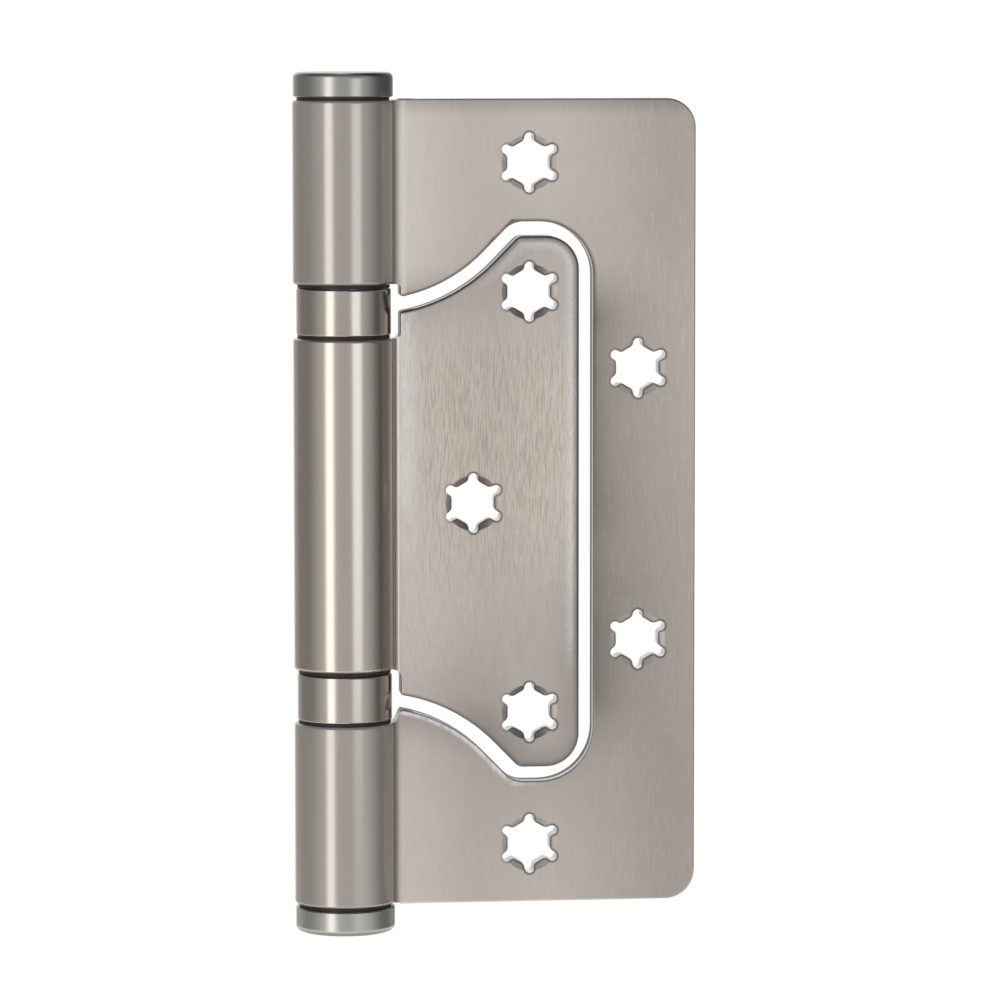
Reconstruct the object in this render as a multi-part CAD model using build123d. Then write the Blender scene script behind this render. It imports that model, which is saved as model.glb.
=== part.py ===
from build123d import *
import math
import os

# Butterfly hinge, in millimetres, closed flat. The pin axis is Z, with the origin on it at mid-height.
# Both leaves lie in the XZ plane and reach toward +X; the screw heads face -Y.

# Leaf sheet
leaf_height = 101.6
sheet = 3.0
strip_width = 13.0
outer_corner_radius = 3.7
edge_round = 0.25

# Rolled knuckles
knuckle_od = 12.7
outer_knuckle_length = 23.0
outer_knuckle_inset = 0.15
bend_radius = 1.0
seam_gap = 0.12
knuckle_end_round = 0.4
root_margin = 2.0

# Inner leaf outline, and the cut-out of the outer leaf that it nests in
inner_reach = 29.6
lobe_rise = 12.7
notch_rise = 3.3
lobe_top_width = 7.67
flank_radius = 21.5
flank_angle = 45.7
shoulder_radius = 1.5
nose_radius = 4.2
cutout_nose_radius = 6.8
leaf_gap = 1.8
barrel_clearance = 0.65
notch_radius_outer = 0.45
notch_radius_upper = 0.6
notch_radius_lower = 1.1
notch_slant = 0.7
corner_break = 0.4

# Star-shaped screw holes
star_flat = 5.35
star_upright_tip = 7.55
star_side_tip = 7.85
star_lobe_width = 1.2
star_petal_round = 0.62
countersink_diameter = 7.0
countersink_depth = 0.8
end_hole_inset = 6.3
outer_end_hole_inset = 7.7
inner_end_hole_inset = 7.0
side_hole_margin = 5.7
side_hole_drop = 3.7
middle_hole_margin = 9.2
outer_pattern_drop = 0.3

# Pin and caps
pin_diameter = 5.5
spigot_diameter = 3.8
spigot_length = 2.0
spigot_fit = 0.01
cap_diameter = 12.5
cap_height = 3.1
cap_round = 0.75
cap_break = 0.15

# Flanged bushes
flange_diameter = 11.6
flange_thickness = 0.4
bush_length = 8.0
bush_fit = 0.02
bush_running_clearance = 0.05

# Thrust ball bearings
bearing_height = 5.95
shell_diameter = 11.9
shell_wall = 0.55
shell_lip = 0.5
shell_opening = 9.2
shell_edge_round = 0.2
bearing_clearance = 0.1
race_fit = 0.01
hub_clearance = 0.2
race_gap = 0.9
ball_diameter = 1.6
ball_count = 9
groove_clearance = 0.03
pocket_clearance = 0.1
cage_thickness = 0.55
race_bore_clearance = 0.15

# Worked-out sizes, up the pin from the middle: centre knuckle, flange, bearing, flange, outer knuckle
knuckle_radius = knuckle_od / 2
bore_radius = knuckle_radius - sheet
pin_radius = pin_diameter / 2
leaf_half = leaf_height / 2
outer_knuckle_end = leaf_half - outer_knuckle_inset
pin_end = outer_knuckle_end + flange_thickness
outer_knuckle_start = outer_knuckle_end - outer_knuckle_length
bearing_top = outer_knuckle_start - flange_thickness
bearing_bottom = bearing_top - bearing_height
centre_knuckle_half = bearing_bottom - flange_thickness

# Worked-out places on the leaves
notch_x = knuckle_radius + barrel_clearance
notch_z = centre_knuckle_half + notch_rise
inner_half_height = centre_knuckle_half + lobe_rise
outer_reach = inner_reach + leaf_gap + strip_width

# The flank is an arc from the notch that ends tangent to the slope below the lobe's shoulder
slope_cos = math.cos(math.radians(flank_angle))
slope_sin = math.sin(math.radians(flank_angle))
lobe_shoulder_x = inner_reach - lobe_top_width
bulge = (lobe_shoulder_x - notch_x) * slope_sin - (inner_half_height - notch_z) * slope_cos
rise = flank_radius - bulge
run = math.sqrt(flank_radius ** 2 - rise ** 2)
flank_centre_x = notch_x - rise * slope_sin + run * slope_cos
flank_centre_z = notch_z + rise * slope_cos + run * slope_sin

# Worked-out places of the screw holes
hole_line_x = inner_reach - end_hole_inset
outer_end_hole = (hole_line_x, leaf_half - outer_end_hole_inset)
outer_side_hole = (inner_reach + leaf_gap + side_hole_margin, centre_knuckle_half - side_hole_drop)
inner_end_hole = (hole_line_x, inner_half_height - inner_end_hole_inset)
inner_middle_hole = (notch_x + middle_hole_margin, 0)

# Reach of a cut that goes right through, and how near a corner or edge lies to a place that names it
through = 2 * knuckle_radius
pick = 0.02

# The roll: the sheet bends off its plane, turns round the bore and closes on its own front face
sheet_middle = (knuckle_radius + bore_radius) / 2
bend_middle = bend_radius + sheet / 2
bend_apart = sheet_middle + bend_middle
bend_x = math.sqrt(bend_apart ** 2 - bend_middle ** 2)
root_lean = math.degrees(math.atan2(bend_middle, bend_x))
seam_reach = bend_radius + sheet + seam_gap
seam_cosine = (knuckle_radius ** 2 + bend_apart ** 2 - seam_reach ** 2) / (2 * knuckle_radius * bend_apart)
seam_angle = root_lean - math.degrees(math.acos(seam_cosine))


def polar(radius, degrees, centre=(0.0, 0.0)):
    """A point at an angle round a centre, in the plane of a sketch."""
    angle = math.radians(degrees)
    return (centre[0] + radius * math.cos(angle), centre[1] + radius * math.sin(angle))


def rolled_sheet(ends):
    """A sheet that runs in radially, bends back and closes round the bore, with rounded knuckle ends."""
    front, back = -sheet / 2, sheet / 2
    turn = 360 + seam_angle - root_lean
    edges = [
        Line((outer_reach, front), (bend_x, front)),
        CenterArc((bend_x, bend_middle), bend_radius + sheet, 270, root_lean - 90),
        CenterArc((0, 0), bore_radius, root_lean, turn),
        Line(polar(bore_radius, seam_angle), polar(knuckle_radius, seam_angle)),
        CenterArc((0, 0), knuckle_radius, seam_angle, -turn),
        CenterArc((bend_x, bend_middle), bend_radius, 180 + root_lean, 90 - root_lean),
        Line((bend_x, back), (outer_reach, back)),
        Line((outer_reach, back), (outer_reach, front)),
    ]
    rolled = Pos(0, 0, -leaf_half) * extrude(make_face(edges), leaf_height)
    for z, side in ends:
        rolled -= knuckle_end_cut(z, side)
    return rolled


def lobe(offset, nose, shoulder, start_x):
    """Outline of the inner leaf's wide part, grown by an offset, from start_x to its reach."""
    radius = flank_radius - offset
    reach = inner_reach + offset
    half = inner_half_height + offset
    start = math.degrees(math.asin((start_x - flank_centre_x) / radius))
    centre = (flank_centre_x, flank_centre_z)
    foot = polar(radius, start - 90, centre)
    top = polar(radius, flank_angle - 90, centre)
    shoulder_x = top[0] + (half - top[1]) / math.tan(math.radians(flank_angle))
    edges = [
        Line((start_x, 0), foot),
        CenterArc(centre, radius, start - 90, flank_angle - start),
        Line(top, (shoulder_x, half)),
        Line((shoulder_x, half), (reach, half)),
        Line((reach, half), (reach, 0)),
        Line((reach, 0), (start_x, 0)),
    ]
    face = make_face(edges)
    face = fillet(corners(face, shoulder_x, half), shoulder)
    face = fillet(corners(face, reach, half), nose)
    return face + mirror(face, Plane.XZ)


def block(x0, z0, x1, z1):
    """A rectangle between two corners of the leaf plane."""
    return Pos((x0 + x1) / 2, (z0 + z1) / 2) * Rectangle(x1 - x0, z1 - z0)


def corners(face, x, z):
    """The sketch corners at one place of the leaf plane."""
    return face.vertices().filter_by(lambda v: abs(v.X - x) < pick and abs(v.Y - z) < pick)


def flank_z(x, offset):
    """Height of the flank above a place of its foot."""
    radius = flank_radius - offset
    return flank_centre_z - math.sqrt(radius ** 2 - (x - flank_centre_x) ** 2)


def star_hole(place, both_faces):
    """A screw hole with six lobes and flat petals, countersunk from the front or from both faces."""
    star = RegularPolygon(star_flat / 2, 6, major_radius=False, rotation=30)
    for degrees, tip in ((30, star_side_tip), (90, star_upright_tip), (150, star_side_tip)):
        star += Rot(0, 0, degrees) * SlotOverall(tip, star_lobe_width)
    petals = star.vertices().sort_by(lambda v: math.hypot(v.X, v.Y))[:12]
    star = fillet(petals, star_petal_round)
    hole = extrude(Plane.XZ * Pos(*place) * star, sheet, both=True)
    wide = countersink_diameter / 2
    cone = Cone(wide - countersink_depth, wide, countersink_depth)
    lift = (sheet - countersink_depth) / 2
    hole += Pos(place[0], -lift, place[1]) * Rot(90, 0, 0) * cone
    if both_faces:
        hole += Pos(place[0], lift, place[1]) * Rot(-90, 0, 0) * cone
    return hole


def knuckle_end_cut(z, side):
    """The ring that rounding takes off a knuckle's end; side is 1 at an upper end, -1 at a lower one."""
    rim = knuckle_radius - knuckle_end_round
    inner_z = z - side * knuckle_end_round
    corner = block(rim, inner_z, knuckle_radius + 1, z + side) - Pos(rim, inner_z) * Circle(knuckle_end_round)
    start = root_lean + root_margin
    turn = 360 + seam_angle - start
    return Rot(0, 0, start) * revolve(Plane.XZ * corner, Axis.Z, turn)


def solid_leaf(blank, roll):
    """A leaf from its flat blank: a plate with a rounded front outline, joined to the roll at the bend."""
    flat = blank & block(bend_x, -leaf_half, outer_reach, leaf_half)
    plate = extrude(Plane.XZ * flat, sheet / 2, both=True)
    front = plate.faces().sort_by(Axis.Y)[0]
    plate = fillet([e for e in front.edges() if e.center().X > bend_x + pick], edge_round)
    rest = blank & block(-through, -leaf_half, bend_x, leaf_half)
    return (roll & extrude(Plane.XZ * rest, through, both=True)) + plate


def make_outer_leaf():
    """The large leaf: two end knuckles and the cut-out for the small leaf."""
    blank = block(-through, -leaf_half, outer_reach, leaf_half)
    outside = corners(blank, outer_reach, leaf_half) + corners(blank, outer_reach, -leaf_half)
    blank = fillet(outside, outer_corner_radius)
    window = make_face(Polyline(
        (-through, -outer_knuckle_start),
        (notch_x - notch_slant, -outer_knuckle_start),
        (notch_x, -flank_z(notch_x, leaf_gap)),
        (notch_x, outer_knuckle_start),
        (-through, outer_knuckle_start),
        close=True,
    ))
    blank -= lobe(leaf_gap, cutout_nose_radius, shoulder_radius + leaf_gap, 0)
    blank -= fillet(corners(window, notch_x, outer_knuckle_start), notch_radius_outer)
    lobe_foot = flank_z(notch_x, leaf_gap)
    feet = corners(blank, notch_x, lobe_foot) + corners(blank, notch_x, -lobe_foot)
    blank = fillet(feet, corner_break)
    ends = []
    for side in (1, -1):
        blank -= block(-through, side * leaf_half, bend_x, side * outer_knuckle_end)
        ends += [(side * outer_knuckle_end, side), (side * outer_knuckle_start, -side)]
    leaf = solid_leaf(blank, rolled_sheet(ends))
    for x, z in (outer_end_hole, outer_side_hole):
        for side in (1, -1):
            leaf -= star_hole((x, side * z - outer_pattern_drop), False)
    return leaf


def make_inner_leaf():
    """The small leaf: one long centre knuckle, rolled the other way from the outer leaf's."""
    half = centre_knuckle_half
    foot = flank_z(notch_x, 0)
    blank = lobe(0, nose_radius, shoulder_radius, notch_x)
    blank = fillet(corners(blank, notch_x, foot) + corners(blank, notch_x, -foot), corner_break)
    blank += block(-through, -half, notch_x + sheet, half)
    blank = fillet(corners(blank, notch_x, half), notch_radius_upper)
    blank = fillet(corners(blank, notch_x, -half), notch_radius_lower)
    leaf = solid_leaf(blank, mirror(rolled_sheet([(half, 1), (-half, -1)]), Plane.XZ))
    for place in (inner_end_hole, inner_middle_hole, (inner_end_hole[0], -inner_end_hole[1])):
        leaf -= star_hole(place, True)
    return leaf


def turned(points):
    """A solid of revolution about the pin axis from its half-section, given as (radius, z) points."""
    return revolve(Plane.XZ * make_face(Polyline(*points, close=True)), Axis.Z)


def ring(outer_radius, inner_radius, z0, z1):
    """A plain ring about the pin axis between two heights."""
    return turned([(inner_radius, z0), (outer_radius, z0), (outer_radius, z1), (inner_radius, z1)])


def rim_edges(solid, radius, z):
    """The round edges of a turned piece at one radius and height."""
    edges = solid.edges().filter_by(GeomType.CIRCLE)
    return [e for e in edges if abs(e.radius - radius) < pick and abs(e.arc_center.Z - z) < pick]


def rod(radius, z0, z1):
    """A plain rod on the pin axis between two heights."""
    return Pos(0, 0, (z0 + z1) / 2) * Cylinder(radius, z1 - z0)


def make_pin():
    """The pin, with a turned-down spigot for the cap on each end."""
    tip = pin_end + spigot_length
    return rod(pin_radius, -pin_end, pin_end) + rod(spigot_diameter / 2, -tip, tip)


def make_cap(side):
    """A round cap on one end of the pin, with a rounded outer edge and a blind socket."""
    near, far = side * pin_end, side * (pin_end + cap_height)
    cap = rod(cap_diameter / 2, min(near, far), max(near, far))
    cap = fillet(rim_edges(cap, cap_diameter / 2, far), cap_round)
    cap = chamfer(rim_edges(cap, cap_diameter / 2, near), cap_break)
    socket = side * (pin_end + spigot_length + spigot_fit)
    return cap - rod(spigot_diameter / 2 + spigot_fit, min(near, socket), max(near, socket))


def make_bush(face_z, side):
    """A flanged bush in a knuckle that ends at face_z; side is 1 where its flange is on top."""
    bore = pin_radius + bush_running_clearance
    sleeve_end = face_z - side * bush_length
    collar_end = face_z + side * flange_thickness
    bush = ring(bore_radius - bush_fit, bore, min(face_z, sleeve_end), max(face_z, sleeve_end))
    return bush + ring(flange_diameter / 2, bore, min(face_z, collar_end), max(face_z, collar_end))


def make_bearing(base):
    """A thrust ball bearing that stands on a height: shell, two races, cage and balls."""
    shell_radius = shell_diameter / 2
    inside = shell_radius - shell_wall
    shell_top = base + bearing_height - bearing_clearance
    race_bore = pin_radius + race_bore_clearance
    opening = shell_opening / 2
    shell = turned([
        (opening, base),
        (shell_radius, base),
        (shell_radius, shell_top),
        (opening, shell_top),
        (opening, shell_top - shell_lip),
        (inside, shell_top - shell_lip),
        (inside, base + shell_lip),
        (opening, base + shell_lip),
    ])
    rims = rim_edges(shell, shell_radius, base) + rim_edges(shell, shell_radius, shell_top)
    shell = fillet(rims, shell_edge_round)

    race_low = base + shell_lip
    race_high = shell_top - shell_lip - bearing_clearance
    race_height = (race_high - race_low - race_gap) / 2
    ball_z = (race_low + race_high) / 2
    pitch = (race_bore + inside - bearing_clearance) / 2
    groove = Pos(0, 0, ball_z) * Torus(pitch, ball_diameter / 2 + groove_clearance)
    bottom = ring(inside - race_fit, race_bore, race_low, race_low + race_height) - groove
    top = ring(inside - bearing_clearance, race_bore, race_high - race_height, race_high)
    top += ring(opening - hub_clearance, race_bore, race_high, base + bearing_height)
    top -= groove

    half_cage = cage_thickness / 2
    cage = ring(inside - bearing_clearance, race_bore, ball_z - half_cage, ball_z + half_cage)
    spots = PolarLocations(pitch, ball_count)
    for spot in spots:
        cage -= Pos(0, 0, ball_z) * spot * Cylinder(ball_diameter / 2 + pocket_clearance, race_gap)
    balls = Compound(children=[Pos(0, 0, ball_z) * spot * Sphere(ball_diameter / 2) for spot in spots])
    return {
        "bearing_shell": shell,
        "bearing_bottom_race": bottom,
        "bearing_top_race": top,
        "ball_cage": cage,
        "bearing_balls": balls,
    }


pieces = {
    "outer_leaf": make_outer_leaf(),
    "inner_leaf": make_inner_leaf(),
    "hinge_pin": make_pin(),
    "top_cap": make_cap(1),
    "bottom_cap": make_cap(-1),
    "top_knuckle_upper_bush": make_bush(outer_knuckle_end, 1),
    "top_knuckle_lower_bush": make_bush(outer_knuckle_start, -1),
    "centre_knuckle_upper_bush": make_bush(centre_knuckle_half, 1),
    "centre_knuckle_lower_bush": make_bush(-centre_knuckle_half, -1),
    "bottom_knuckle_upper_bush": make_bush(-outer_knuckle_start, 1),
    "bottom_knuckle_lower_bush": make_bush(-outer_knuckle_end, -1),
}
for level, base in (("upper", bearing_bottom), ("lower", -bearing_top)):
    for piece, solid in make_bearing(base).items():
        pieces[f"{level}_{piece}"] = solid

os.makedirs("parts", exist_ok=True)
for name, solid in pieces.items():
    export_step(solid, f"parts/{name}.step")
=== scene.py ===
import math

import bpy
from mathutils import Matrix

# Butterfly hinge, closed flat, in metres. The pin stands on the Z axis, both leaves reach toward +X,
# and the faces with the screw heads look toward -Y.

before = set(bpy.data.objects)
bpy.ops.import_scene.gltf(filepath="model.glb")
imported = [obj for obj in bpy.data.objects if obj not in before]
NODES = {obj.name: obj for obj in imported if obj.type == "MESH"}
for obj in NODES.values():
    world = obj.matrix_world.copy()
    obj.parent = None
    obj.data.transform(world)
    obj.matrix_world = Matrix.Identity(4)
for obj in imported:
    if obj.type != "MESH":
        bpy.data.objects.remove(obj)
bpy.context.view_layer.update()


def far_corner(name):
    """The largest X and Z of a CAD node, in millimetres."""
    points = [vertex.co for vertex in NODES[name].data.vertices]
    return max(p.x for p in points) * 1000, max(p.z for p in points) * 1000


# Camera, set where the photograph was taken from: metres, degrees, millimetres of lens and sensor, and the
# rise of the frame as a share of its width
CAMERA_PLACE = (-0.06145, -0.68531, 0.06326)
CAMERA_TURN = 6.760
CAMERA_DIP = 5.320
CAMERA_ROLL = 0.037
CAMERA_LENS = 197.63
SENSOR_WIDTH = 36.0
FRAME_RISE = 0.0097

# Floor, in metres
FLOOR_REACH = 1.6
FLOOR_LEVEL = -0.45

# Tones of the sheet steel, clean and darker along the cut edges, and of its marks and its painted light and
# shade
LEAF_TONE = (0.715, 0.650, 0.586, 1.0)
LEAF_SHADE_TONE = (0.31, 0.275, 0.24, 1.0)
INNER_TONE = (0.87, 0.785, 0.725, 1.0)
INNER_SHADE_TONE = (0.40, 0.35, 0.315, 1.0)
WARM_TONE = (0.86, 0.755, 0.655, 1.0)
STREAK_TONE = (0.52, 0.435, 0.37, 1.0)
# bright specks and scratches, and also the painted highlights
SPECK_AND_HIGHLIGHT_TONE = (1.0, 0.96, 0.93, 1.0)
SUNK_TONE = (0.80, 0.73, 0.66, 1.0)
# tint of the painted light and shade across each countersink
SUNK_LIGHT_AND_SHADE_TONE = (1.0, 0.86, 0.80, 1.0)
# painted shade on the rounded far edge of the small leaf
ROLLED_EDGE_SHADE_TONE = (0.36, 0.33, 0.33, 1.0)
# painted shade in thin lines along the cut edges and round the stars
EDGE_SHADE_TONE = (0.14, 0.115, 0.10, 1.0)
WALL_TONE = (0.95, 0.94, 0.93, 1.0)
# the torn walls at the back of the cut-out, with painted shade there and beside the bearings
TORN_AND_SHADED_TONE = (0.07, 0.06, 0.055, 1.0)
# painted shade along the barrel's seam and its side
SEAM_SHADE_TONE = (0.22, 0.20, 0.18, 1.0)

# Tones of the other pieces and of the light
SHELL_TONE = (0.63, 0.565, 0.50, 1.0)
CAP_TONE = (0.525, 0.515, 0.475, 1.0)
PIN_TONE = (0.56, 0.56, 0.56, 1.0)
RACE_TONE = (0.50, 0.50, 0.52, 1.0)
BALL_TONE = (0.66, 0.66, 0.68, 1.0)
CAGE_TONE = (0.52, 0.42, 0.26, 1.0)
BUSH_TONE = (0.012, 0.012, 0.012, 1.0)
COOL_TINT = (0.92, 0.98, 1.0, 1.0)
WHITE = (1.0, 1.0, 1.0, 1.0)

# Each leaf's barrel: tone, how metallic it is, where the painted shade of its seam lies across and how
# strong it is
OUTER_BARREL = {"tone": (0.560, 0.512, 0.465, 1.0), "metallic": 0.62, "seam": 6.15, "strength": 0.75}
INNER_BARREL = {"tone": (0.655, 0.58, 0.515, 1.0), "metallic": 0.97, "seam": 5.3, "strength": 0.55}
BARREL_ROUGHNESS = 0.20

# Shapes of the leaves that the finish follows, in millimetres and degrees in the plane of the leaves
INNER_REACH, INNER_TOP = far_corner("inner_leaf")
OUTER_TOP = far_corner("outer_leaf")[1]
LEAF_GAP = 1.8
NOSE_RADIUS = 4.2
CUTOUT_NOSE_RADIUS = 6.8
FLANK_RADIUS = 21.5
FLANK_CENTRE = (3.4, 45.4)
FLANK_END = (18.8, 30.4)
FLANK_ANGLE = 45.7
OUTER_HOLES = ((23.3, 43.1), (37.1, 17.2))
OUTER_HOLE_DROP = 0.3
INNER_HOLES = ((23.3, 26.6), (16.2, 0.0))
COUNTERSINK_RADIUS = 3.5
STAR_FLAT = 2.675
STAR_LOBES = ((30.0, 3.925), (90.0, 3.775), (150.0, 3.925))
STAR_LOBE_HALF = 0.6

# Places in millimetres between which the colour and its painted light and shade change, across or up the
# leaves
LEAF_ROOT = (6.3, 7.2)
BESIDE_BEARINGS = (9.0, 8.2)
OUTER_EDGE_DARK_BELOW = (-34.0, -22.0)
OUTER_EDGE_DARK_ABOVE = (23.0, 31.0)
OUTER_SCRATCHED_SIDE = (30.0, 38.0)
OUTER_CORNER_SIDE = (34.0, 42.0)
OUTER_CORNER_HEIGHT = (20.0, 36.0)
# Painted highlights on the large leaf: along the rim under the lower flank and where it leaves the barrel
LIT_RIM_HEIGHT = (-20.0, -26.0)
LIT_RIM_SIDE = (26.0, 18.0)
ROOT_HIGHLIGHT_START = (7.0, 7.3)
ROOT_HIGHLIGHT_END = (8.0, 7.5)
ROOT_HIGHLIGHT_HEIGHT = (-20.0, 26.0)
INNER_EDGE_DARK_LOW = (2.0, -22.0)
INNER_EDGE_DARK_HIGH = (14.0, 26.0)
INNER_EDGE_DARK_SIDE = (8.0, 18.0)
INNER_BROWN_LOW = (-16.0, 2.0)
INNER_BROWN_HIGH = (24.0, 16.0)
INNER_BROWN_SIDE = (8.0, 11.0)
INNER_FAR_SIDE = (14.0, 24.0)
# Painted highlights on the small leaf: along its far edge and beside the barrel
INNER_LIT_HEIGHT = (-24.0, -16.0)
INNER_ROOT_SIDE = (9.8, 7.4)
INNER_ROOT_HEIGHT = (-6.0, 6.0)
INNER_LIGHT_FALL_HEIGHT = (2.0, -16.0)

# Painted light and shade in broad soft bands, and across each countersink, as pairs of a place in
# millimetres and a level of brightness
OUTER_LIGHT_BANDS = ((6.9, 1.38), (12.0, 1.22), (17.0, 1.08), (25.5, 1.22), (33.0, 1.0), (39.0, 0.94),
               (44.4, 0.99))
OUTER_LIGHT_FALL = ((-50.8, 0.82), (-32.0, 0.79), (-16.0, 0.77), (4.0, 0.85), (28.0, 1.03), (50.8, 0.95))
INNER_LIGHT_BANDS = ((6.9, 1.0), (12.0, 0.98), (18.5, 0.85), (24.0, 0.96), (29.5, 1.0))
SUNK_LIGHT_LEVELS = ((-3.6, 0.50), (-2.0, 0.24), (0.0, 0.13), (1.5, 0.20), (2.7, 0.60), (3.6, 1.2))

# Kinds of sockets
COLOUR = "NodeSocketColor"
NUMBER = "NodeSocketFloat"
VECTOR = "NodeSocketVector"


def add_node(tree, kind, feeds=None, **settings):
    """Adds a node, sets its options and feeds its inputs with sockets or plain values."""
    made = tree.nodes.new(kind)
    for name, value in settings.items():
        setattr(made, name, value)
    for name, value in (feeds or {}).items():
        if isinstance(value, bpy.types.NodeSocket):
            tree.links.new(value, made.inputs[name])
        else:
            made.inputs[name].default_value = value
    return made


def add_effect(tree, group, feeds):
    """Places a node group in a tree, feeds its named inputs and gives its named outputs."""
    return add_node(tree, "ShaderNodeGroup", feeds, node_tree=group).outputs


def calc(tree, operation, *values):
    """One step of arithmetic on sockets or plain numbers."""
    return add_node(tree, "ShaderNodeMath", dict(enumerate(values)), operation=operation).outputs[0]


def product(tree, first, *others):
    """Several values multiplied."""
    for other in others:
        first = calc(tree, "MULTIPLY", first, other)
    return first


def largest(tree, first, *others):
    """The largest of several values."""
    for other in others:
        first = calc(tree, "MAXIMUM", first, other)
    return first


def length(tree, side, rise):
    """How long a slanted line is, from its two parts."""
    squares = calc(tree, "ADD", calc(tree, "MULTIPLY", side, side), calc(tree, "MULTIPLY", rise, rise))
    return calc(tree, "SQRT", squares)


def distance(tree, across, up, centre):
    """Distance from a point of the leaf plane."""
    return length(tree, calc(tree, "SUBTRACT", across, centre[0]), calc(tree, "SUBTRACT", up, centre[1]))


def spread(tree, value, low, high, to_low=0.0, to_high=1.0):
    """A smooth change from one number to another while a value goes from low to high."""
    feeds = {"Value": value, "From Min": low, "From Max": high, "To Min": to_low, "To Max": to_high}
    return add_node(tree, "ShaderNodeMapRange", feeds, interpolation_type="SMOOTHSTEP").outputs["Result"]


def levels(tree, value, stops):
    """A smooth run of brightness through pairs of a value and a level, with levels of up to 2."""
    first, last = stops[0][0], stops[-1][0]
    ramp = tree.nodes.new("ShaderNodeValToRGB")
    ramp.color_ramp.interpolation = "B_SPLINE"
    marks = ramp.color_ramp.elements
    while len(marks) < len(stops):
        marks.new(0.5)
    for mark, (where, level) in zip(marks, stops):
        mark.position = (where - first) / (last - first)
        mark.color = (level / 2, level / 2, level / 2, 1.0)
    along = add_node(tree, "ShaderNodeMapRange", {"Value": value, "From Min": first, "From Max": last})
    tree.links.new(along.outputs["Result"], ramp.inputs[0])
    return calc(tree, "MULTIPLY", ramp.outputs[0], 2.0)


def between(tree, amount, first, second):
    """A mix of two numbers."""
    return add_node(tree, "ShaderNodeMix", {0: amount, 2: first, 3: second}, data_type="FLOAT").outputs[0]


def blend(tree, amount, first, second):
    """A mix of two colours."""
    return add_node(tree, "ShaderNodeMix", {0: amount, 6: first, 7: second}, data_type="RGBA").outputs[2]


def dim(tree, colour, level):
    """A colour multiplied by a grey level."""
    grey = add_node(tree, "ShaderNodeCombineColor", {"Red": level, "Green": level, "Blue": level})
    feeds = {0: 1.0, 6: colour, 7: grey.outputs[0]}
    return add_node(tree, "ShaderNodeMix", feeds, data_type="RGBA", blend_type="MULTIPLY").outputs[2]


def noise(tree, place, scale, detail=2.0, roughness=0.5):
    """Soft noise from 0 to 1."""
    feeds = {"Vector": place, "Scale": scale, "Detail": detail, "Roughness": roughness}
    return add_node(tree, "ShaderNodeTexNoise", feeds).outputs["Fac"]


def drawn_out(tree, place, stretch):
    """A place on which a pattern comes out longer along the height of the hinge."""
    parts = add_node(tree, "ShaderNodeSeparateXYZ", {0: place}).outputs
    height = calc(tree, "DIVIDE", parts["Z"], stretch)
    return add_node(tree, "ShaderNodeCombineXYZ", {"X": parts["X"], "Y": parts["Y"], "Z": height}).outputs[0]


def plane_place(tree, place):
    """How far across and up the leaves a place is, in millimetres."""
    parts = add_node(tree, "ShaderNodeSeparateXYZ", {0: place}).outputs
    return calc(tree, "MULTIPLY", parts["X"], 1000.0), calc(tree, "MULTIPLY", parts["Z"], 1000.0)


def facing(tree, axis):
    """How far a surface faces along an axis of its own piece, from -1 to 1."""
    normal = tree.nodes.new("ShaderNodeTexCoord").outputs["Normal"]
    return add_node(tree, "ShaderNodeSeparateXYZ", {0: normal}).outputs[axis]


def new_group(name, inputs, outputs):
    """An empty node group with named sockets, the sockets that it is given and those of its result."""
    group = bpy.data.node_groups.new(name, "ShaderNodeTree")
    for label, kind, value in inputs:
        socket = group.interface.new_socket(label, in_out="INPUT", socket_type=kind)
        socket.default_value = value
    for label, kind in outputs:
        group.interface.new_socket(label, in_out="OUTPUT", socket_type=kind)
    return group, group.nodes.new("NodeGroupInput").outputs, group.nodes.new("NodeGroupOutput").inputs


def streak_group():
    """Fine lines along the height of the hinge, as brushing leaves them, with slow mottling."""
    group, given, result = new_group(
        "brushed_streaks",
        [("Place", VECTOR, (0, 0, 0)), ("Fineness", NUMBER, 4000.0), ("Stretch", NUMBER, 1.0),
         ("Mottle Scale", NUMBER, 700.0)],
        [("Streak", NUMBER), ("Mottle", NUMBER)],
    )
    fine = noise(group, drawn_out(group, given["Place"], given["Stretch"]), given["Fineness"], 3.0, 0.7)
    slow = noise(group, drawn_out(group, given["Place"], 5.0), given["Mottle Scale"], 4.0, 0.6)
    group.links.new(fine, result["Streak"])
    group.links.new(slow, result["Mottle"])
    return group


def outline_group():
    """Distance outside the small leaf's outline in millimetres, negative on the small leaf itself."""
    group, given, result = new_group(
        "small_leaf_outline",
        [("Place", VECTOR, (0, 0, 0)), ("Nose Radius", NUMBER, NOSE_RADIUS)],
        [("Apart", NUMBER)],
    )
    nose = given["Nose Radius"]
    across, up = plane_place(group, given["Place"])
    height = calc(group, "ABSOLUTE", up)
    side = calc(group, "ADD", calc(group, "SUBTRACT", across, INNER_REACH), nose)
    end = calc(group, "ADD", calc(group, "SUBTRACT", height, INNER_TOP), nose)
    round_part = length(group, largest(group, side, 0.0), largest(group, end, 0.0))
    flat_part = calc(group, "MINIMUM", largest(group, side, end), 0.0)
    box = calc(group, "SUBTRACT", calc(group, "ADD", round_part, flat_part), nose)
    arc = calc(group, "SUBTRACT", FLANK_RADIUS, distance(group, across, height, FLANK_CENTRE))
    angle = math.radians(FLANK_ANGLE)
    climb = calc(group, "MULTIPLY", calc(group, "SUBTRACT", height, FLANK_END[1]), math.cos(angle))
    run = calc(group, "MULTIPLY", calc(group, "SUBTRACT", across, FLANK_END[0]), math.sin(angle))
    slope = calc(group, "SUBTRACT", climb, run)
    flank = between(group, calc(group, "GREATER_THAN", across, FLANK_END[0]), arc, slope)
    group.links.new(largest(group, box, flank), result["Apart"])
    return group


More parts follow.
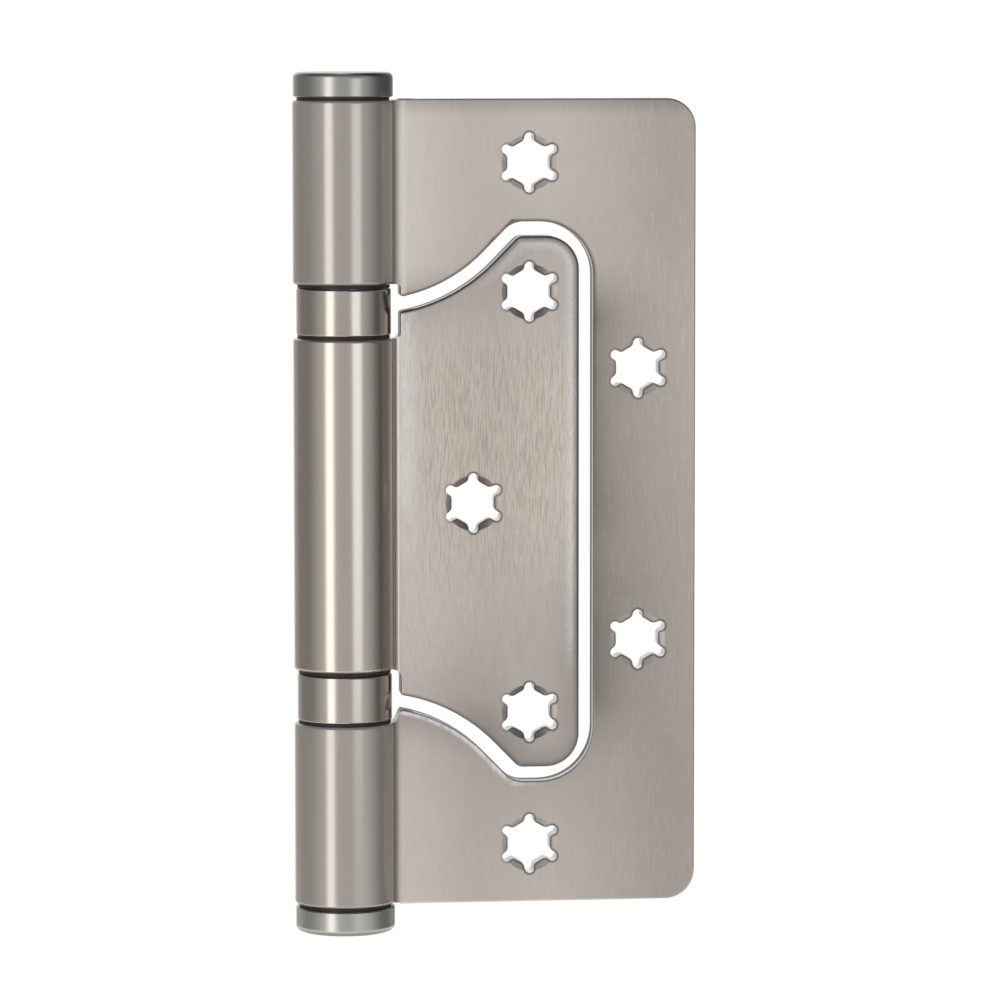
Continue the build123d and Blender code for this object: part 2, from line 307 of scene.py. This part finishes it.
def star_distance(tree, across, up):
    """Distance outside a star-shaped hole, from its centre's own coordinates."""
    flats = []
    lobes = []
    for degrees, tip in STAR_LOBES:
        angle = math.radians(degrees)
        along = calc(tree, "ADD", calc(tree, "MULTIPLY", across, math.cos(angle)),
                     calc(tree, "MULTIPLY", up, math.sin(angle)))
        aside = calc(tree, "SUBTRACT", calc(tree, "MULTIPLY", up, math.cos(angle)),
                     calc(tree, "MULTIPLY", across, math.sin(angle)))
        flats.append(calc(tree, "ABSOLUTE", aside))
        past = calc(tree, "SUBTRACT", calc(tree, "ABSOLUTE", along), tip - STAR_LOBE_HALF)
        lobes.append(calc(tree, "SUBTRACT", length(tree, largest(tree, past, 0.0), aside), STAR_LOBE_HALF))
    middle = calc(tree, "SUBTRACT", largest(tree, *flats), STAR_FLAT)
    lobe = calc(tree, "MINIMUM", calc(tree, "MINIMUM", lobes[0], lobes[1]), lobes[2])
    return calc(tree, "MINIMUM", middle, lobe)


def holes_group(name, holes, drop):
    """Distances in millimetres: from the nearest screw hole's centre, from its star, and right of it."""
    group, given, result = new_group(
        name,
        [("Place", VECTOR, (0, 0, 0))],
        [("Apart", NUMBER), ("Star", NUMBER), ("Side", NUMBER)],
    )
    across, up = plane_place(group, given["Place"])
    height = calc(group, "ABSOLUTE", calc(group, "ADD", up, drop))
    reaches = [distance(group, across, height, hole) for hole in holes]
    stars = []
    for hole in holes:
        beside = calc(group, "SUBTRACT", across, hole[0])
        stars.append(star_distance(group, beside, calc(group, "SUBTRACT", height, hole[1])))
    second = calc(group, "GREATER_THAN", *reaches)
    centre = calc(group, "MULTIPLY_ADD", second, holes[1][0] - holes[0][0], holes[0][0])
    group.links.new(calc(group, "MINIMUM", *reaches), result["Apart"])
    group.links.new(calc(group, "MINIMUM", *stars), result["Star"])
    group.links.new(calc(group, "SUBTRACT", across, centre), result["Side"])
    return group


def edge_dark_group():
    """Darkening that fades with the distance from a cut edge, in uneven soft clouds."""
    group, given, result = new_group(
        "darker_near_cut",
        [("Place", VECTOR, (0, 0, 0)), ("Distance", NUMBER, 0.0), ("Strength", NUMBER, 1.0),
         ("Fade", NUMBER, 0.82)],
        [("Shade", NUMBER)],
    )
    uneven = calc(group, "MULTIPLY_ADD", noise(group, given["Place"], 110.0), 0.7, 0.65)
    faded = calc(group, "POWER", given["Fade"], largest(group, given["Distance"], 0.0))
    group.links.new(product(group, faded, given["Strength"], uneven), result["Shade"])
    return group


def lower_rim_group():
    """A colour, with painted shade where a rounded lower rim faces down."""
    group, given, result = new_group(
        "lower_rim_shade",
        [("Colour", COLOUR, WHITE), ("Facing Up", NUMBER, 0.0), ("Strength", NUMBER, 0.5)],
        [("Colour", COLOUR)],
    )
    down = spread(group, given["Facing Up"], -0.1, -0.6)
    level = calc(group, "SUBTRACT", 1.0, product(group, down, given["Strength"]))
    group.links.new(dim(group, given["Colour"], level), result["Colour"])
    return group


def countersink_group():
    """Where a countersink is and its colour, plain or with painted light and shade: dark left, light brown
    right.
    """
    group, given, result = new_group(
        "countersink",
        [("Apart", NUMBER, 0.0), ("Side", NUMBER, 0.0), ("Shaded", NUMBER, 1.0)],
        [("Sunk", NUMBER), ("Colour", COLOUR)],
    )
    sunk = spread(group, given["Apart"], COUNTERSINK_RADIUS - 0.1, COUNTERSINK_RADIUS + 0.1, 1.0, 0.0)
    brown = dim(group, SUNK_LIGHT_AND_SHADE_TONE, levels(group, given["Side"], SUNK_LIGHT_LEVELS))
    group.links.new(sunk, result["Sunk"])
    group.links.new(blend(group, given["Shaded"], SUNK_TONE, brown), result["Colour"])
    return group


def edge_shade_line_group():
    """Thin lines of painted shade along the cut edges and round the stars, weaker on the left of each star.
    """
    group, given, result = new_group(
        "painted_edge_shade_lines",
        [("From Cut", NUMBER, 0.0), ("Cut Strength", NUMBER, 1.0), ("Star", NUMBER, 0.0),
         ("Side", NUMBER, 0.0)],
        [("Line", NUMBER)],
    )
    star_line = product(group, spread(group, given["Star"], 0.08, 0.40, 0.8, 0.0),
                        spread(group, given["Side"], -3.8, -2.0, 0.3, 1.0))
    cut_line = product(group, spread(group, given["From Cut"], 0.12, 0.50, 1.0, 0.0), given["Cut Strength"])
    group.links.new(largest(group, star_line, cut_line), result["Line"])
    return group


def cut_wall_group():
    """The sheet's cut walls: bright where punched, dark at the back of the cut-out, torn and in painted
    shade.
    """
    group, given, result = new_group(
        "cut_walls",
        [("Place", VECTOR, (0, 0, 0)), ("Facing Back", NUMBER, 1.0), ("From Cut", NUMBER, 0.0),
         ("Star", NUMBER, 0.0)],
        [("Wall", NUMBER), ("Colour", COLOUR)],
    )
    across = plane_place(group, given["Place"])[0]
    depth = add_node(group, "ShaderNodeSeparateXYZ", {0: given["Place"]}).outputs["Y"]
    near_cut = spread(group, calc(group, "ABSOLUTE", given["From Cut"]), 0.4, 0.8, 1.0, 0.0)
    near_star = spread(group, given["Star"], 0.4, 0.8, 1.0, 0.0)
    torn_and_shaded = product(group, spread(group, depth, -0.0006, 0.0002), near_cut)
    # painted shade on the walls beside the bearings
    torn_and_shaded = largest(group, torn_and_shaded, spread(group, across, *BESIDE_BEARINGS))
    bright = blend(group, largest(group, near_cut, near_star), LEAF_TONE, WALL_TONE)
    wall = spread(group, calc(group, "ABSOLUTE", given["Facing Back"]), 0.35, 0.75, 1.0, 0.0)
    group.links.new(wall, result["Wall"])
    group.links.new(blend(group, torn_and_shaded, bright, TORN_AND_SHADED_TONE), result["Colour"])
    return group


def seam_shade_group():
    """Painted shade along the barrel's seam and its side, soft on its left and sharp on its right."""
    group, given, result = new_group(
        "barrel_seam_shade",
        [("Across", NUMBER, 0.0), ("Seam Place", NUMBER, 6.0), ("Strength", NUMBER, 0.5)],
        [("Seam", NUMBER)],
    )
    across, seam = given["Across"], given["Seam Place"]
    soft_side = spread(group, across, calc(group, "SUBTRACT", seam, 1.6), seam)
    sharp_side = spread(group, across, calc(group, "ADD", seam, 0.6), calc(group, "ADD", seam, 0.1))
    group.links.new(product(group, soft_side, sharp_side, given["Strength"]), result["Seam"])
    return group


def make_effects():
    """The node groups that the materials share, and those of the holes in each leaf."""
    return {
        "streaks": streak_group(),
        "outline": outline_group(),
        "outer_holes": holes_group("large_leaf_holes", OUTER_HOLES, OUTER_HOLE_DROP),
        "inner_holes": holes_group("small_leaf_holes", INNER_HOLES, 0.0),
        "edge_dark": edge_dark_group(),
        "lower_rim": lower_rim_group(),
        "countersink": countersink_group(),
        "edge_shade_lines": edge_shade_line_group(),
        "cut_walls": cut_wall_group(),
        "seam": seam_shade_group(),
    }


def new_material(name):
    """A material, its tree and its empty Principled shader."""
    material = bpy.data.materials.new(name)
    material.use_nodes = True
    return material, material.node_tree, material.node_tree.nodes["Principled BSDF"]


def own_place(tree):
    """The place on a piece in its own coordinates, in metres."""
    return tree.nodes.new("ShaderNodeTexCoord").outputs["Object"]


def add_grain(tree, shader, height, depth):
    """Relief of a given depth in metres."""
    bump = add_node(tree, "ShaderNodeBump", {"Height": height, "Strength": 1.0, "Distance": depth})
    tree.links.new(bump.outputs["Normal"], shader.inputs["Normal"])


def steel(name, tone, roughness, effects, grain=0.0):
    """Plain stainless steel, faintly uneven in tone and gloss, with painted shade under its lower rims and
    relief where a grain is given.
    """
    material, tree, shader = new_material(name)
    feeds = {"Place": own_place(tree), "Fineness": 4000.0, "Stretch": 1.0, "Mottle Scale": 700.0}
    lines = add_effect(tree, effects["streaks"], feeds)
    worn = dim(tree, tone, calc(tree, "MULTIPLY_ADD", lines["Mottle"], 0.08, 0.96))
    feeds = {"Colour": worn, "Facing Up": facing(tree, "Z"), "Strength": 0.45}
    shaded = add_effect(tree, effects["lower_rim"], feeds)["Colour"]
    tree.links.new(shaded, shader.inputs["Base Color"])
    rough = calc(tree, "MULTIPLY_ADD", lines["Streak"], 0.10, roughness - 0.05)
    tree.links.new(rough, shader.inputs["Roughness"])
    shader.inputs["Metallic"].default_value = 1.0
    if grain:
        add_grain(tree, shader, lines["Streak"], grain)
    return material


def plastic(name, tone, roughness):
    """Moulded plastic with a faint unevenness in its gloss."""
    material, tree, shader = new_material(name)
    rough = calc(tree, "MULTIPLY_ADD", noise(tree, own_place(tree), 2500.0, 3.0), 0.1, roughness - 0.05)
    tree.links.new(rough, shader.inputs["Roughness"])
    shader.inputs["Base Color"].default_value = tone
    return material


def outer_edge_dark(tree, effects, spot):
    """Darker beside the cut-out, weakly above and below it, and a dark line under the top edge."""
    strength = product(tree, spread(tree, spot["up"], *OUTER_EDGE_DARK_BELOW, 0.25, 0.92),
                       spread(tree, spot["up"], *OUTER_EDGE_DARK_ABOVE, 1.0, 0.2))
    feeds = {"Place": spot["place"], "Distance": spot["from_cut"], "Strength": strength, "Fade": 0.82}
    near_cut_dark = add_effect(tree, effects["edge_dark"], feeds)["Shade"]
    top_line = spread(tree, calc(tree, "SUBTRACT", OUTER_TOP, spot["up"]), 0.2, 2.4, 0.45, 0.0)
    return blend(tree, largest(tree, near_cut_dark, top_line), LEAF_TONE, LEAF_SHADE_TONE)


def outer_scratches(tree, spot, colour):
    """Faint dark streaks all over and bright scratches, mostly toward the far side."""
    dark = spread(tree, spot["streak"], 0.42, 0.66, 0.0, 0.12)
    colour = blend(tree, dark, colour, STREAK_TONE)
    bright = product(tree, spread(tree, spot["streak"], 0.44, 0.34, 0.0, 0.30),
                     spread(tree, spot["across"], *OUTER_SCRATCHED_SIDE, 0.2, 1.0))
    return blend(tree, bright, colour, SPECK_AND_HIGHLIGHT_TONE)


def outer_light_bands(tree, spot, colour):
    """Painted light and shade in broad soft bands across and up the large leaf, dimmer in its two far
    corners.
    """
    toward_ends = spread(tree, calc(tree, "ABSOLUTE", spot["up"]), *OUTER_CORNER_HEIGHT, 0.0, -0.12)
    corners = calc(tree, "MULTIPLY_ADD", spread(tree, spot["across"], *OUTER_CORNER_SIDE), toward_ends, 1.0)
    light_bands = levels(tree, spot["across"], OUTER_LIGHT_BANDS)
    return dim(tree, colour, product(tree, light_bands, levels(tree, spot["up"], OUTER_LIGHT_FALL), corners))


def outer_painted_highlights(tree, spot, colour):
    """A patchy painted highlight on the rim under the lower flank and one where the leaf leaves the barrel.
    """
    patchy = spread(tree, spot["mottle"], 0.25, 0.60, 0.35, 0.9)
    lit_rim = product(tree, spread(tree, spot["from_cut"], 0.85, 0.30),
                      spread(tree, spot["up"], *LIT_RIM_HEIGHT),
                      spread(tree, spot["across"], *LIT_RIM_SIDE), patchy)
    root_highlight = product(tree, spread(tree, spot["across"], *ROOT_HIGHLIGHT_START),
                        spread(tree, spot["across"], *ROOT_HIGHLIGHT_END, 0.0, 0.5),
                        spread(tree, spot["up"], *ROOT_HIGHLIGHT_HEIGHT))
    return blend(tree, largest(tree, lit_rim, root_highlight), colour, SPECK_AND_HIGHLIGHT_TONE)


def outer_finish_and_light(tree, effects, spot):
    """The large leaf's colours, with their painted light and shade."""
    colour = outer_edge_dark(tree, effects, spot)
    colour = outer_scratches(tree, spot, colour)
    colour = outer_light_bands(tree, spot, colour)
    return outer_painted_highlights(tree, spot, colour)


def inner_brushing(tree, effects, spot):
    """Darker near the cut edge, mostly round the lower nose, and brown brushed lines, mostly in the upper
    middle.
    """
    low = product(tree, spread(tree, spot["up"], *INNER_EDGE_DARK_LOW, 0.0, 0.80),
                  spread(tree, spot["across"], *INNER_EDGE_DARK_SIDE, 0.35, 1.0))
    strength = largest(tree, low, spread(tree, spot["up"], *INNER_EDGE_DARK_HIGH, 0.0, 0.42))
    feeds = {"Place": spot["place"], "Distance": spot["from_cut"], "Strength": strength, "Fade": 0.87}
    near_cut_dark = add_effect(tree, effects["edge_dark"], feeds)["Shade"]
    middle = product(tree, spread(tree, spot["up"], *INNER_BROWN_LOW),
                     spread(tree, spot["up"], *INNER_BROWN_HIGH),
                     spread(tree, spot["across"], *INNER_BROWN_SIDE))
    brown = product(tree, middle, spread(tree, spot["mottle"], 0.35, 0.62))
    colour = blend(tree, near_cut_dark, blend(tree, brown, INNER_TONE, WARM_TONE), INNER_SHADE_TONE)
    strong = calc(tree, "MULTIPLY_ADD", middle, 0.40, 0.22)
    return blend(tree, product(tree, spread(tree, spot["streak"], 0.44, 0.60), strong), colour, STREAK_TONE)


def inner_edges(tree, spot, colour):
    """Painted shade on the rolled far edge, a painted highlight beside it, and highlight streaks by the
    barrel.
    """
    far = spread(tree, spot["across"], *INNER_FAR_SIDE)
    uneven = spread(tree, spot["mottle"], 0.2, 0.7, 0.6, 1.1)
    rolled = product(tree, spread(tree, spot["from_cut"], 0.2, 1.0, 0.9, 0.0), uneven, far)
    colour = blend(tree, rolled, colour, ROLLED_EDGE_SHADE_TONE)
    highlight_dots = spread(tree, noise(tree, spot["place"], 4200.0), 0.42, 0.62, 0.50, 1.0)
    lit_line = product(tree, spread(tree, spot["from_cut"], 0.6, 1.0),
                       spread(tree, spot["from_cut"], 2.2, 1.0, 0.0, 0.75),
                       far, spread(tree, spot["up"], *INNER_LIT_HEIGHT), highlight_dots)
    barrel_side_highlight = product(tree, spread(tree, spot["across"], *INNER_ROOT_SIDE),
                          spread(tree, spot["up"], *INNER_ROOT_HEIGHT),
                          spread(tree, spot["streak"], 0.40, 0.58, 1.0, 0.4))
    return blend(tree, product(tree, largest(tree, lit_line, barrel_side_highlight), 0.8), colour, SPECK_AND_HIGHLIGHT_TONE)


def inner_finish_and_light(tree, effects, spot):
    """The small leaf's colours, with painted light and shade in broad bands and darker toward the bottom."""
    colour = inner_edges(tree, spot, inner_brushing(tree, effects, spot))
    # painted shade: darker toward the bottom of the small leaf
    light_fall = spread(tree, spot["up"], *INNER_LIGHT_FALL_HEIGHT, 1.0, 0.93)
    return dim(tree, colour, product(tree, levels(tree, spot["across"], INNER_LIGHT_BANDS), light_fall))


def leaf_steel(name, effects, finish_and_light, holes, gap, nose, barrel, shaded, line_strength, grain):
    """Brushed sheet steel: a smooth barrel, a rougher leaf, sunk holes, thin lines of painted shade and cut
    walls.
    """
    material, tree, shader = new_material(name)
    place = own_place(tree)
    across, up = plane_place(tree, place)
    feeds = {"Place": place, "Fineness": 9500.0, "Stretch": 22.0, "Mottle Scale": 1200.0}
    lines = add_effect(tree, effects["streaks"], feeds)
    apart = add_effect(tree, effects["outline"], {"Place": place, "Nose Radius": nose})["Apart"]
    from_cut = calc(tree, "SUBTRACT", calc(tree, "ABSOLUTE", apart), gap)
    hole = add_effect(tree, holes, {"Place": place})
    spot = {"place": place, "across": across, "up": up, "from_cut": from_cut, "streak": lines["Streak"],
            "mottle": lines["Mottle"]}

    # countersinks with painted light and shade across their cones
    sink = add_effect(tree, effects["countersink"],
                      {"Apart": hole["Apart"], "Side": hole["Side"], "Shaded": shaded})
    colour = blend(tree, sink["Sunk"], finish_and_light(tree, effects, spot), sink["Colour"])
    # thin lines of painted shade along the cut edges and round the stars
    feeds = {"From Cut": from_cut, "Cut Strength": spread(tree, up, *line_strength), "Star": hole["Star"],
             "Side": hole["Side"]}
    colour = blend(tree, add_effect(tree, effects["edge_shade_lines"], feeds)["Line"], colour, EDGE_SHADE_TONE)
    feeds = {"Place": place, "Facing Back": facing(tree, "Y"), "From Cut": from_cut, "Star": hole["Star"]}
    walls = add_effect(tree, effects["cut_walls"], feeds)
    colour = blend(tree, walls["Wall"], colour, walls["Colour"])
    worn = dim(tree, colour, calc(tree, "MULTIPLY_ADD", lines["Mottle"], 0.10, 0.95))

    # painted shade along the barrel's seam and its side
    feeds = {"Across": across, "Seam Place": barrel["seam"], "Strength": barrel["strength"]}
    seam = add_effect(tree, effects["seam"], feeds)["Seam"]
    seam_shaded = blend(tree, seam, barrel["tone"], SEAM_SHADE_TONE)
    # painted shade under the barrel's lower rims
    feeds = {"Colour": seam_shaded, "Facing Up": facing(tree, "Z"), "Strength": 0.75}
    rolled = add_effect(tree, effects["lower_rim"], feeds)["Colour"]
    on_leaf = spread(tree, across, *LEAF_ROOT)
    tree.links.new(blend(tree, on_leaf, rolled, worn), shader.inputs["Base Color"])

    plate_rough = calc(tree, "MULTIPLY_ADD", lines["Streak"], 0.12, 0.34)
    tree.links.new(between(tree, on_leaf, BARREL_ROUGHNESS, plate_rough), shader.inputs["Roughness"])
    metallic = spread(tree, across, *LEAF_ROOT, barrel["metallic"], 1.0)
    metallic = calc(tree, "SUBTRACT", metallic, product(tree, sink["Sunk"], 0.6))
    tree.links.new(metallic, shader.inputs["Metallic"])
    add_grain(tree, shader, product(tree, lines["Streak"], on_leaf), grain)
    return material


def dress(name, material):
    """Gives a CAD node its material."""
    for slot in NODES[name].material_slots:
        slot.material = material


def dress_leaves(effects):
    """The two leaves, each with its own shades round the cut-out."""
    dress("outer_leaf", leaf_steel(
        "outer_leaf_steel", effects, outer_finish_and_light, effects["outer_holes"], gap=LEAF_GAP,
        nose=CUTOUT_NOSE_RADIUS - LEAF_GAP, barrel=OUTER_BARREL, shaded=0.35,
        line_strength=(-24.0, 34.0, 0.0, 0.85), grain=0.000003))
    dress("inner_leaf", leaf_steel(
        "inner_leaf_steel", effects, inner_finish_and_light, effects["inner_holes"], gap=0.0, nose=NOSE_RADIUS,
        barrel=INNER_BARREL, shaded=1.0, line_strength=(-28.0, -16.0, 0.70, 1.0), grain=0.000006))


def dress_bearings(effects):
    """The two thrust ball bearings: shells, races, balls and cages."""
    shell = steel("bearing_shell_steel", SHELL_TONE, 0.20, effects)
    race = steel("race_steel", RACE_TONE, 0.20, effects)
    ball = steel("ball_steel", BALL_TONE, 0.12, effects)
    cage = plastic("cage_nylon", CAGE_TONE, 0.5)
    for level in ("upper", "lower"):
        dress(f"{level}_bearing_shell", shell)
        dress(f"{level}_bearing_top_race", race)
        dress(f"{level}_bearing_bottom_race", race)
        dress(f"{level}_bearing_balls", ball)
        dress(f"{level}_ball_cage", cage)


def dress_pin_and_bushes(effects):
    """The pin, its two caps and the six flanged bushes."""
    cap = steel("cap_steel", CAP_TONE, 0.26, effects, grain=0.000004)
    bush = plastic("bush_nylon", BUSH_TONE, 0.45)
    dress("hinge_pin", steel("pin_steel", PIN_TONE, 0.25, effects))
    dress("top_cap", cap)
    dress("bottom_cap", cap)
    for knuckle in ("top", "centre", "bottom"):
        for end in ("upper", "lower"):
            dress(f"{knuckle}_knuckle_{end}_bush", bush)


def softbox(name, turn, rise, width, height, strength, colour=WHITE):
    """A flat lamp a metre away, turned round the pin by an angle to the right of straight in front."""
    lamp = bpy.data.lights.new(name, "AREA")
    lamp.shape = "RECTANGLE"
    lamp.size = width
    lamp.size_y = height
    lamp.energy = strength
    lamp.color = colour[:3]
    thing = bpy.data.objects.new(name, lamp)
    bpy.context.scene.collection.objects.link(thing)
    angle = math.radians(turn)
    thing.location = (math.sin(angle), -math.cos(angle), rise)
    thing.rotation_euler = (-thing.location).to_track_quat("-Z", "Y").to_euler()


def grey_room(tree, turn, rise):
    """What the steel mirrors: a grey room, darker to the sides, above and below, and white behind."""
    aside = calc(tree, "ABSOLUTE", turn)
    left = spread(tree, turn, -55.0, -95.0, 0.0, 0.28)
    right = spread(tree, turn, 42.0, 90.0, 0.0, 0.43)
    behind = spread(tree, aside, 125.0, 150.0, 0.0, 0.18)
    above = spread(tree, rise, 0.25, 0.8, 1.0, 0.35)
    below = spread(tree, rise, -0.8, -0.35, 0.45, 1.0)
    room = calc(tree, "SUBTRACT", calc(tree, "SUBTRACT", 0.53, left), right)
    room = product(tree, calc(tree, "ADD", room, behind), above, below)
    return largest(tree, room, spread(tree, aside, 155.0, 166.0))


def studio_world():
    """White for the eye; a grey room for steel and plain light for the rest, both cooler on the right."""
    world = bpy.data.worlds.new("studio")
    bpy.context.scene.world = world
    world.use_nodes = True
    tree = world.node_tree
    tree.nodes.clear()
    way = tree.nodes.new("ShaderNodeTexCoord").outputs["Generated"]
    parts = add_node(tree, "ShaderNodeSeparateXYZ", {0: way}).outputs
    ahead = calc(tree, "MULTIPLY", parts["Y"], -1.0)
    turn = calc(tree, "DEGREES", calc(tree, "ARCTAN2", parts["X"], ahead))
    path = tree.nodes.new("ShaderNodeLightPath").outputs
    level = between(tree, path["Is Glossy Ray"], 0.55, grey_room(tree, turn, parts["Z"]))
    open_way = largest(tree, path["Is Camera Ray"], path["Is Transmission Ray"])
    cool = product(tree, spread(tree, turn, 0.0, 50.0), calc(tree, "SUBTRACT", 1.0, open_way))
    feeds = {"Color": blend(tree, cool, WHITE, COOL_TINT), "Strength": between(tree, open_way, level, 1.0)}
    sky = add_node(tree, "ShaderNodeBackground", feeds)
    out = tree.nodes.new("ShaderNodeOutputWorld")
    tree.links.new(sky.outputs[0], out.inputs["Surface"])


def white_floor():
    """A pale floor well below the hinge, white for the eye and in what the steel mirrors."""
    mesh = bpy.data.meshes.new("floor")
    signs = ((-1, -1), (1, -1), (1, 1), (-1, 1))
    corners = [(x * FLOOR_REACH, y * FLOOR_REACH, FLOOR_LEVEL) for x, y in signs]
    mesh.from_pydata(corners, [], [(0, 1, 2, 3)])
    floor = bpy.data.objects.new("floor", mesh)
    bpy.context.scene.collection.objects.link(floor)
    material, tree, shader = new_material("pale_floor")
    shader.inputs["Base Color"].default_value = (0.8, 0.8, 0.8, 1.0)
    shader.inputs["Roughness"].default_value = 0.9
    path = tree.nodes.new("ShaderNodeLightPath").outputs
    shown = largest(tree, path["Is Camera Ray"], path["Is Glossy Ray"], path["Is Transmission Ray"])
    white = add_node(tree, "ShaderNodeEmission", {"Color": WHITE, "Strength": 1.0})
    mixed = add_node(tree, "ShaderNodeMixShader", {0: shown, 1: shader.outputs[0], 2: white.outputs[0]})
    tree.links.new(mixed.outputs[0], tree.nodes["Material Output"].inputs["Surface"])
    mesh.materials.append(material)


def place_camera():
    """The camera, at the photograph's viewpoint."""
    lens = bpy.data.cameras.new("camera")
    lens.sensor_width = SENSOR_WIDTH
    lens.lens = CAMERA_LENS
    lens.shift_y = FRAME_RISE
    camera = bpy.data.objects.new("camera", lens)
    bpy.context.scene.collection.objects.link(camera)
    camera.location = CAMERA_PLACE
    camera.rotation_euler = [math.radians(angle) for angle in (90 - CAMERA_DIP, CAMERA_ROLL, -CAMERA_TURN)]
    bpy.context.scene.camera = camera


shared_effects = make_effects()
dress_leaves(shared_effects)
dress_bearings(shared_effects)
dress_pin_and_bushes(shared_effects)
studio_world()
white_floor()
softbox("left_strip", turn=-38, rise=0.0, width=0.33, height=1.2, strength=1.7)
softbox("right_box", turn=25.5, rise=-0.03, width=0.38, height=0.26, strength=0.31, colour=COOL_TINT)
place_camera()
bpy.context.scene.view_settings.view_transform = "Standard"
